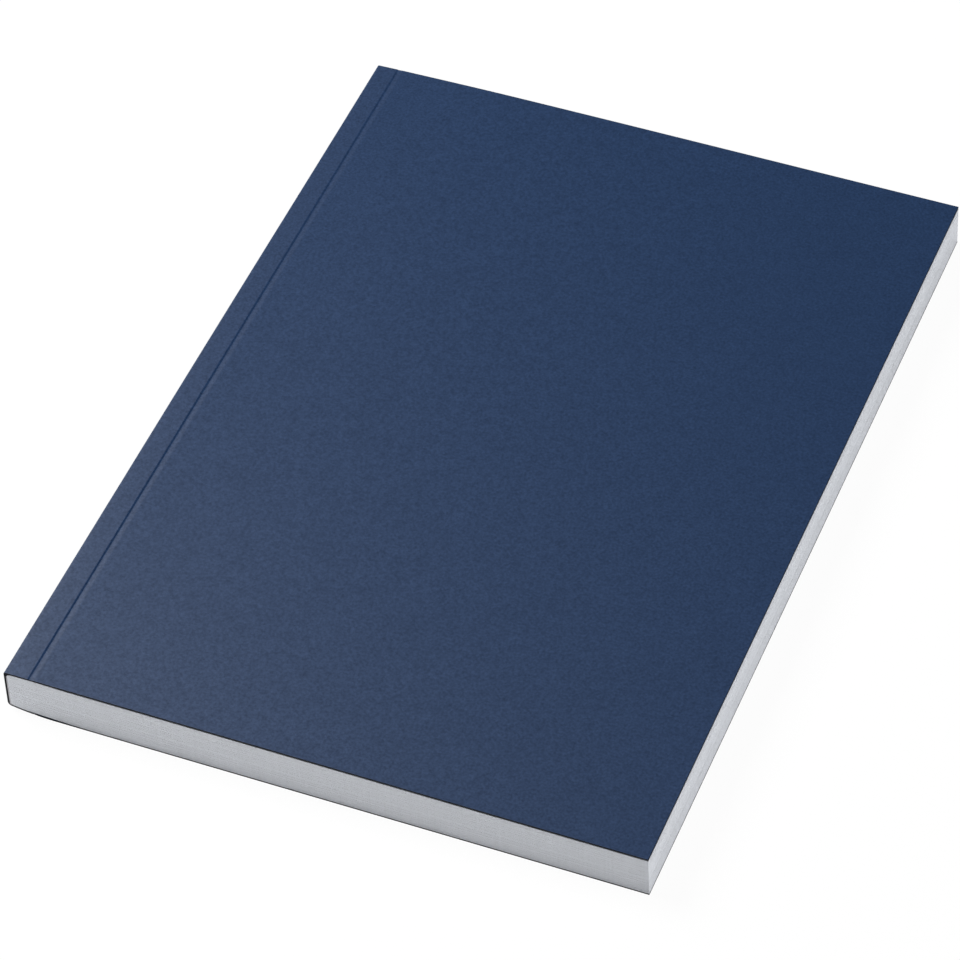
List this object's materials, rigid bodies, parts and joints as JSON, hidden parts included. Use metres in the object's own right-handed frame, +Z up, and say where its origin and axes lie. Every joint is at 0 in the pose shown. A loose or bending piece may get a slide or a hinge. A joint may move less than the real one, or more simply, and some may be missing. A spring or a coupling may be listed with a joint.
{
  "type": "softcover notebook",
  "caption": "Perfect-bound softcover notebook with a dyed card cover scored beside the spine; both covers open on their scores.",
  "frame": {"origin": "middle of the underside, on the surface that the closed book lies on", "axes": "+X from the spine to the fore-edge, +Y from the foot to the head, +Z up out of the front cover"},
  "size_m": [0.148, 0.21, 0.0117],
  "materials": {
    "leaves": "matte uncoated",
    "card": "matte uncoated, dyed through",
    "glue": "dull"
  },
  "bodies": {
    "block": {"page_block": "leaves", "spine_glue": "glue", "cover_spine": "card"},
    "front_cover": {"front_cover": "card"},
    "back_cover": {"back_cover": "card"}
  },
  "joints": [
    {"name": "front_cover_hinge", "type": "hinge", "parent": "block", "child": "front_cover", "pos_m": [-0.0683, 0, 0.01183], "axis": [0, -1, 0], "range_deg": [0, 180]},
    {"name": "back_cover_hinge", "type": "hinge", "parent": "block", "child": "back_cover", "pos_m": [-0.06831, 0, 0.00016], "axis": [0, 1, 0], "range_deg": [0, 180]}
  ]
}
